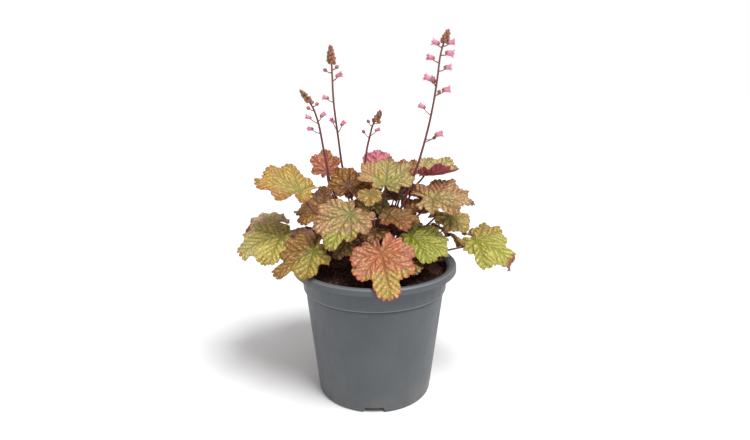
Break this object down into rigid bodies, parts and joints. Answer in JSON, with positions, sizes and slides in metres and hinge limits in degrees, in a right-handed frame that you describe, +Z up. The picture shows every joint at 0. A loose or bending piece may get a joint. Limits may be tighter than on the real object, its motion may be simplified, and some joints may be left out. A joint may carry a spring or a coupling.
{
  "type": "potted heuchera plant",
  "caption": "Potted heuchera: mound of lobed amber, green and coral leaves on thin stalks, slender stems of small pink bells, peat soil and a round grey nursery pot.",
  "frame": {"origin": "centre of the pot's base, on the surface that it stands on", "axes": "+Z up; -Y is the front, where the coral leaf hangs over the pot's lip; +X to the right seen from the front"},
  "size_m": [0.2926, 0.2163, 0.3673],
  "materials": {
    "pot": "satin",
    "soil": "rough",
    "crown": "rough",
    "leaf": "matte",
    "flower_stem": "satin"
  },
  "bodies": {
    "root": {"pot": "pot", "soil": "soil", "crown": "crown", "leaf_01": "leaf", "leaf_02": "leaf", "leaf_03": "leaf", "leaf_04": "leaf", "leaf_05": "leaf", "leaf_06": "leaf", "leaf_07": "leaf", "leaf_08": "leaf", "leaf_09": "leaf", "leaf_10": "leaf", "leaf_11": "leaf", "leaf_12": "leaf", "leaf_13": "leaf", "leaf_14": "leaf", "leaf_15": "leaf", "leaf_16": "leaf", "leaf_17": "leaf", "leaf_18": "leaf", "leaf_19": "leaf", "leaf_20": "leaf", "leaf_21": "leaf", "leaf_22": "leaf", "leaf_23": "leaf", "leaf_24": "leaf", "leaf_25": "leaf", "leaf_26": "leaf", "leaf_27": "leaf", "leaf_28": "leaf", "leaf_29": "leaf", "leaf_30": "leaf", "leaf_31": "leaf", "leaf_32": "leaf", "leaf_33": "leaf", "leaf_34": "leaf", "leaf_35": "leaf", "leaf_36": "leaf", "leaf_37": "leaf", "leaf_38": "leaf", "leaf_39": "leaf", "leaf_40": "leaf", "leaf_41": "leaf", "leaf_42": "leaf", "leaf_43": "leaf", "flower_stem_1": "flower_stem", "flower_stem_2": "flower_stem", "flower_stem_3": "flower_stem", "flower_stem_4": "flower_stem"}
  },
  "joints": []
}
